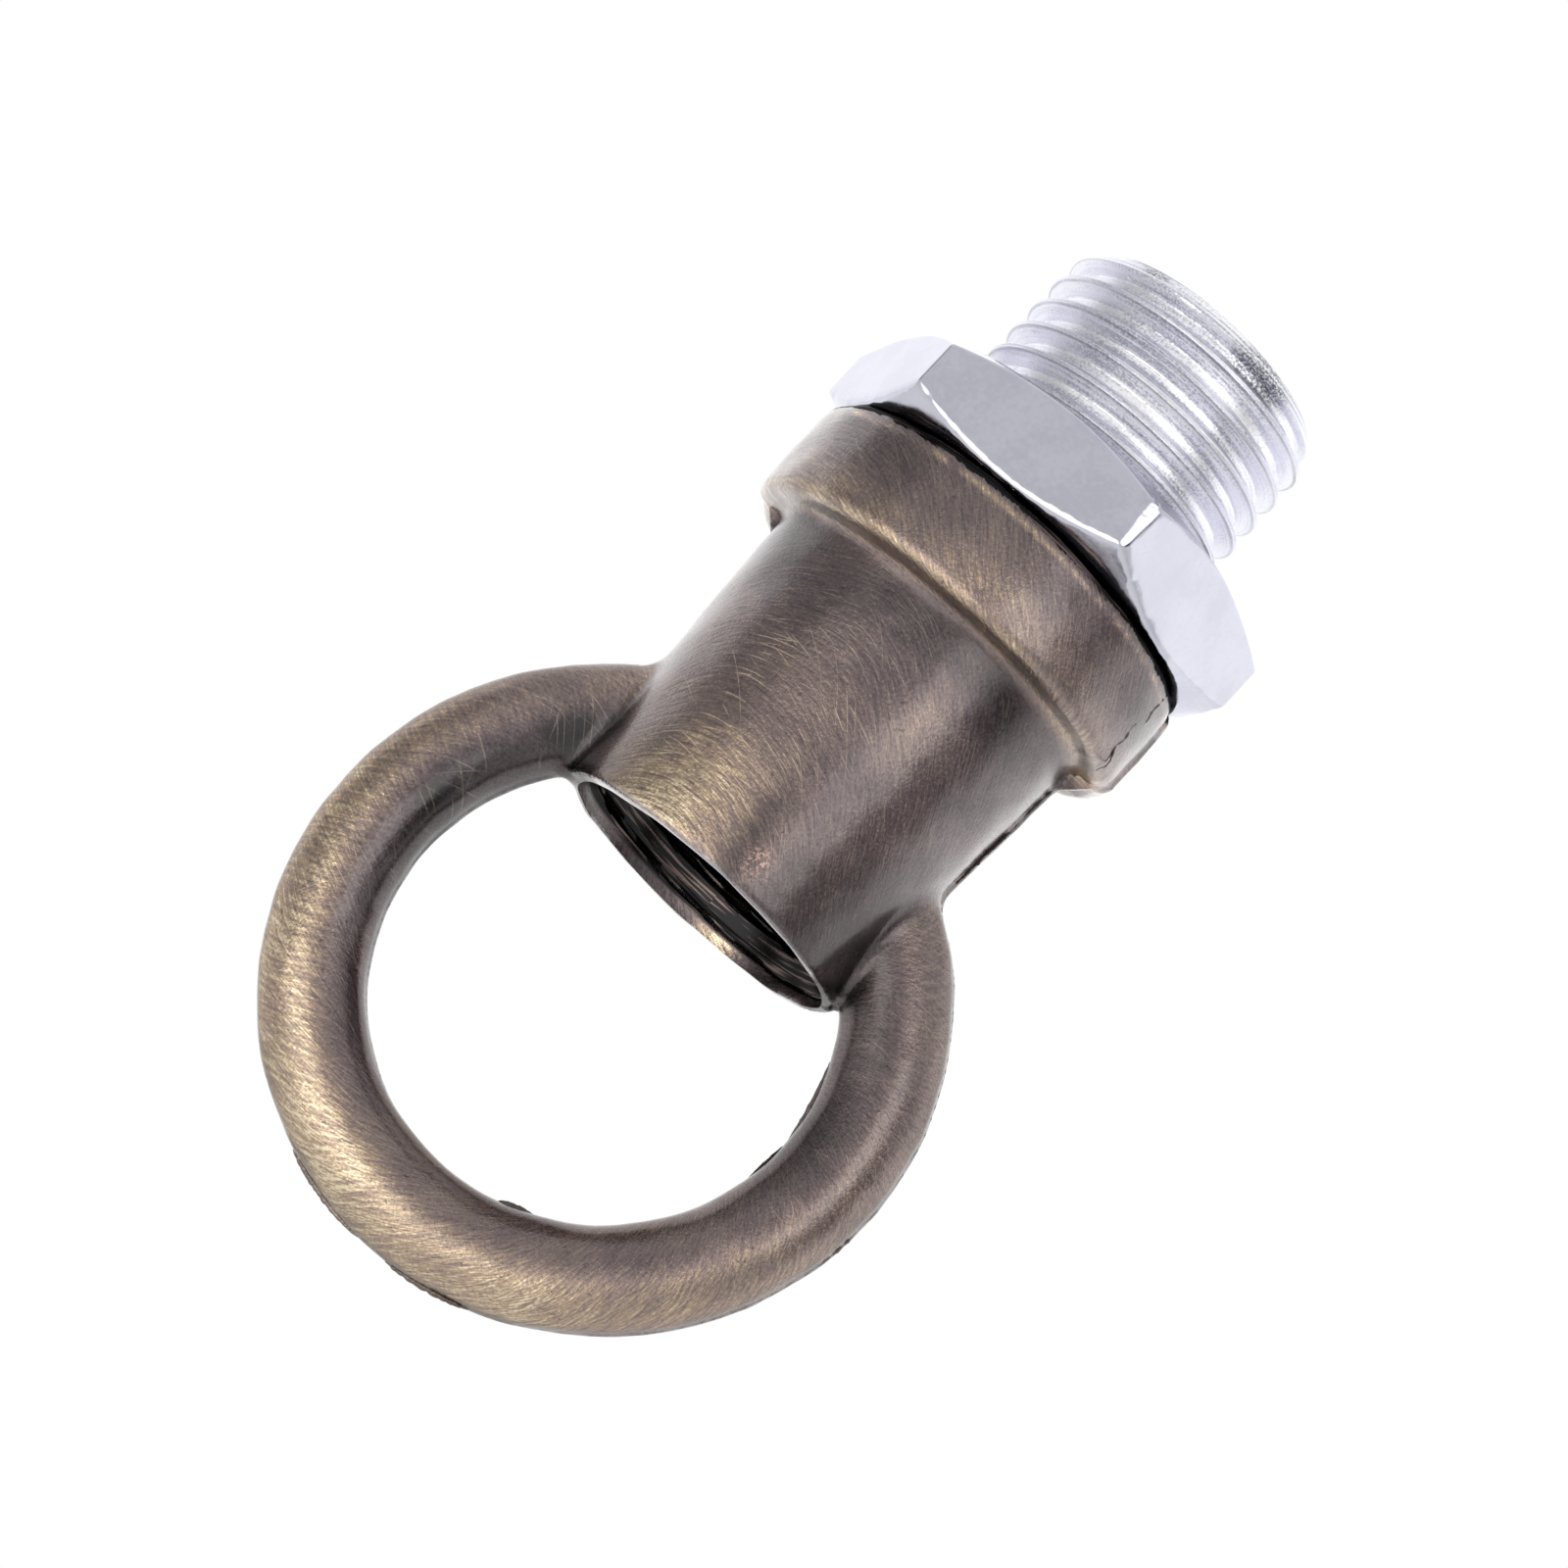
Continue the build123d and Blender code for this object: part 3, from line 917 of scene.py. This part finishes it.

    # where the brushing wore through, by place, with a painted highlight band up the socket
    isBody = add("Math.SUBTRACT", 1.0, ringShare)
    lowRim = chain("ADD", near(z, -6.6, 0.42, 0.32), near(z, -6.0, 1.4, 0.20))
    topRim = add("Math.MULTIPLY", near(z, -3.62, 0.2, 0.42), add("MapRange", patch, 0.4, 0.6, 0.2, 1.0))
    mouthRub = add("MapRange.SMOOTHSTEP", z, -17.4, -12.0, 0.55, 0.0)
    mouthRub = add("Math.MULTIPLY", mouthRub, near(turn, -0.45, 0.8, 1.0))
    arcRub = add("Math.MULTIPLY", near(z, -13.5, 4.5, 0.14), near(turn, -0.4, 0.75, 1.0))
    # darker just under the flange
    darkerUnderFlange = near(z, -7.6, 1.8, -0.08)
    # a painted highlight: a lighter band up the socket, a little right of the side that faces the camera
    highlightBand = add("Math.MULTIPLY", near(z, -9.5, 3.2, 0.22), near(turn, 0.32, 0.24, 1.0))
    leadRub = chain("MULTIPLY", add("MapRange", z, -16.92, -16.84, 0.7, 0.0), near(x, 1.0, 1.5, 1.0),
                    add("Math.GREATER_THAN", y, 4.2), add("Math.LESS_THAN", y, 5.0))
    bodyRub = chain("ADD", lowRim, topRim, mouthRub, arcRub, darkerUnderFlange, highlightBand, leadRub,
                    near(turn, -0.3, 1.1, 0.10), -0.08)
    bodyRub = add("Math.MULTIPLY", isBody, bodyRub)
    # the ring is painted lighter towards the key lamp, at lower left, and darker away from it, as light falls;
    # its outer side is also worn more than its inner side
    side = add("Math.MULTIPLY_ADD", x, -0.42, add("Math.MULTIPLY", down, -0.91))
    innerRub = add("Math.MULTIPLY", add("MapRange.SMOOTHSTEP", out, -0.9, 0.1, 1.0, 0.0),
                   add("MapRange", x, -6.0, 7.0, -0.06, 0.22))
    ringWearAndLight = chain("ADD", add("MapRange", side, -9.0, 9.0, -0.16, 0.24),
                    add("MapRange.SMOOTHSTEP", out, -0.7, 0.5, -0.24, 0.20), 0.04, innerRub)
    wear = chain("ADD", 0.27, add("Math.MULTIPLY_ADD", cloud, 0.5, -0.25), bodyRub,
                 add("Math.MULTIPLY", ringShare, ringWearAndLight))
    edgeOf = wear                                # raised where the strokes and the grain let brass through
    for marks, most, least in ((fine, 0.85, 0.02), (grain, 0.75, 0.24)):
        edgeOf = add("Math.MULTIPLY_ADD", add("Math.SUBTRACT", marks, 0.5),
                     add("Math.MULTIPLY_ADD", wear, most, least), edgeOf)
    colour = setStops(addNode(tree, "ShaderNodeValToRGB", None, {0: edgeOf}),
                      [(0.0, brass["recess"]), (0.22, brass["patina"]), (0.5, brass["thin"]),
                       (0.78, brass["rubbed"]), (1.0, brass["bright"])])

    onSocket = add("Math.MULTIPLY", near(z, -13.0, 5.5, 0.8), near(turn, -0.35, 0.8, 1.0))
    busy = pick(add("Math.ADD", onSocket, 0.25), 0.3)
    busy = add("Math.MULTIPLY", busy, add("MapRange", add("TexNoise", place, 0.8, 1.0), 0.40, 0.58, 0.25, 1.0))
    hairs = 0.0
    for scratch in brass["scratches"]:
        hairs = add("Math.MAXIMUM", hairs, scratched(*scratch))
    hairs = add("Math.MULTIPLY", hairs, busy)
    pits = add("MapRange", add("TexNoise", place, 6.0, 1.0), 0.72, 0.77, 0.0, 1.0)
    # stain and painted shade low on the socket: a stain streak by the worn patch, painted shade by the ring, a
    # red spot between
    low = add("MapRange.SMOOTHSTEP", z, -12.5, -15.5, 0.0, 1.0)
    stainAndShade = chain("ADD", near(add("Math.MULTIPLY_ADD", z, 0.02, turn), -0.24, 0.17, 0.7),
                  near(turn, 1.05, 0.95, 0.85), near(turn, -0.78, 0.25, 0.4))
    stainAndShade = chain("MULTIPLY", stainAndShade, low, isBody, add("MapRange", fine, 0.0, 1.0, 1.0, 0.7))
    spot = chain("MULTIPLY", near(turn, 0.2, 0.13, 1.0), near(z, -16.2, 0.75, 1.0),
                 add("MapRange", grain, 0.48, 0.6, 0.0, 0.8))
    # darker along the ring's mould seam: dirt in the seam, and painted shade on the wire's edges as seen from the
    # front
    seamAndEdgeShade = chain("MULTIPLY", near(y, 0.0, 0.75, 0.75), ringShare, add("MapRange", patch, 0.3, 0.6, 0.6, 1.0))
    # a painted highlight: a pale line along the mouth's rim, round all but its far side
    rimGlint = chain("MULTIPLY", near(z, cast["mouth"], 0.13, 0.75), add("Math.LESS_THAN", y, 3.5), isBody)
    # darker where it is closed in: dark patina that the brush could not reach, and painted shade, strongest
    # inside the tapped hole
    deep = add("MapRange", recess, 0.35, 0.95, 0.0, 0.85)
    layers = ((add("Math.MULTIPLY", hairs, 0.6), "bright"), (add("Math.MULTIPLY", pits, 0.35), "recess"),
              (stainAndShade, "recess"), (spot, "copper"), (deep, "recess"), (seamAndEdgeShade, "recess"), (rimGlint, "rimGlint"),
              (add("Math.MULTIPLY", stray, 0.85), "flash"))
    for share, name in layers:
        colour = add("Mix.RGBA", share, colour, linear(brass[name]))

    # the end face under the nut and the tapped hole were never brushed and stay black
    ragged = add("Math.MULTIPLY_ADD", add("TexNoise", place, 1.2, 3.0), 0.3, -0.15)
    ragged = add("Math.MULTIPLY_ADD", fine, 0.12, ragged)
    ragged = add("Math.SUBTRACT", add("Math.ADD", z, ragged), brass["blackAbove"])
    unbrushed = add("MapRange.SMOOTHSTEP", ragged, -0.02, 0.02, 0.0, 1.0)
    boreOut = add("Math.SQRT", add("Math.MULTIPLY_ADD", x, x, add("Math.MULTIPLY", y, y)))
    inBore = add("Math.MULTIPLY", add("MapRange", boreOut, 4.92, 4.97, 0.9, 0.0),
                 add("MapRange", z, -16.9, -16.78, 0.0, 1.0))
    unbrushed = add("Math.MAXIMUM", unbrushed, inBore)
    streaks = add("CombineXYZ", add("Math.MULTIPLY", around, 0.3), add("Math.MULTIPLY", z, 9.0), 4.0)
    streaks = add("MapRange", add("TexNoise", streaks, 1.0, 2.0, 0.6), 0.52, 0.64, 0.0, 0.7)
    endFace = add("Mix.RGBA", streaks, linear(brass["black"]), linear(brass["thin"]))
    colour = add("Mix.RGBA", unbrushed, colour, endFace)
    rough = add("MapRange", edgeOf, 0.1, 0.9, 0.29, 0.22)
    rough = add("Mix.FLOAT", unbrushed, rough, 0.22)
    depths = ((fine, 0.3), (grain, 0.85), (hairs, -0.5), (pits, -0.8))
    height = chain("ADD", *(add("Math.MULTIPLY", marks, depth) for marks, depth in depths))
    height = add("Math.MULTIPLY", height, add("Math.MULTIPLY_ADD", unbrushed, -0.8, 1.0))
    tint = add("Mix.RGBA", ringShare, linear("#ffffff"), linear(brass["ringEdge"]))
    tint = add("Mix.RGBA", unbrushed, tint, linear(brass["blackEdge"]))
    coat = add("Math.MULTIPLY_ADD", unbrushed, -brass["coatLess"], brass["coat"])
    endMaterial(tree, colour, rough, height, 1.0, {
        "Specular Tint": tint, "Coat Weight": coat, "Coat Roughness": brass["coatRough"],
        "Coat IOR": brass["coatIor"]})


brassFinish(finish["antiqueBrushedBrass"])
print("finishes made")


# Studio: pale floor, white room that is dimmer on the open side, soft lamps

studio = {
    "floorHeight": -160.0,
    "floorSize": 1600.0,
    "floorColour": "#f4f4f4",
    "middle": (0, 0, -12.8),   # what the lamps stand round
    "ambient": 0.9,
    "openSide": (0.085, -0.976, -0.20),
    "dimSide": 0.84,
    "cards": (
        # direction, cosines of its soft edge, share of light left: dark cards that metal shows as bands
        ((0.915, -0.390, 0.12), 0.955, 0.988, 0.12),
        ((-0.972, -0.190, 0.15), 0.82, 0.95, 0.52),
    ),
    "lamps": {
        # direction from the object's middle, distance, size and power in millimetres and watts
        "keyLamp": {"way": (-0.26, -0.81, -0.530), "far": 190, "size": 200, "power": 0.14, "colour": "#fffaf4"},
        "stripLamp": {"way": (0.57, -0.81, 0.16), "far": 190, "size": 112, "power": 0.05, "colour": "#fffdfb"},
        "leftRim": {"way": (-0.66, 0.75, 0.12), "far": 190, "size": 320, "power": 0.108, "colour": "#ffffff"},
        "rightRim": {"way": (0.71, 0.70, 0.12), "far": 190, "size": 360, "power": 0.15, "colour": "#ffffff"},
    },
}


def makeStudio():
    half, low = studio["floorSize"] / 2, studio["floorHeight"]
    floor = drawMesh("floor", [(-half, -half, low), (half, -half, low), (half, half, low), (-half, half, low)],
                     [(0, 1, 2, 3)])
    floor.data.transform(Matrix.Scale(mm, 4))
    paper = bpy.data.materials.new("whitePaper")
    paper.use_nodes = True
    sheet = paper.node_tree.nodes["Principled BSDF"].inputs      # matt, so that it only keeps a soft shadow
    sheet["Base Color"].default_value = linear(studio["floorColour"])
    sheet["Roughness"].default_value = 0.9
    floor.data.materials.append(paper)

    world = bpy.data.worlds.new("whiteRoom")
    scene.world = world
    world.use_nodes = True
    tree = world.node_tree
    tree.nodes.clear()
    path = addNode(tree, "ShaderNodeLightPath").outputs
    way = addNode(tree, "ShaderNodeTexCoord").outputs["Generated"]
    add = adderFor(tree)

    def towards(direction, low, high, far, near):
        dot = add("VectorMath.DOT_PRODUCT", way, Vector(direction).normalized())
        return add("MapRange.SMOOTHSTEP", dot, low, high, far, near)

    room = towards(studio["openSide"], -0.1, 0.6, 1.0, studio["dimSide"])
    for direction, outer, inner, left in studio["cards"]:
        room = add("Math.MULTIPLY", room, towards(direction, outer, inner, 1.0, left))
    straight = add("Math.MAXIMUM", path["Is Camera Ray"], path["Is Transmission Ray"])
    glossy = add("Mix.FLOAT", path["Is Glossy Ray"], studio["ambient"], room)
    strength = add("Mix.FLOAT", straight, glossy, 1.0)
    light = addNode(tree, "ShaderNodeBackground", None, {"Color": (1, 1, 1, 1), "Strength": strength})
    addNode(tree, "ShaderNodeOutputWorld", None, {0: light.outputs[0]})

    for name, lamp in studio["lamps"].items():
        data = bpy.data.lights.new(name, "AREA")
        data.shape = "DISK"
        data.size = lamp["size"] * mm
        data.energy = lamp["power"]
        data.color = linear(lamp["colour"])[:3]
        made = bpy.data.objects.new(name, data)
        offset = Vector(lamp["way"]).normalized() * lamp["far"]
        made.location = (Vector(studio["middle"]) + offset) * mm
        made.rotation_euler = offset.to_track_quat("Z", "Y").to_euler()
        made.visible_camera = False
        scene.collection.objects.link(made)


makeStudio()
scene.view_settings.view_transform = "Standard"
print("studio set")
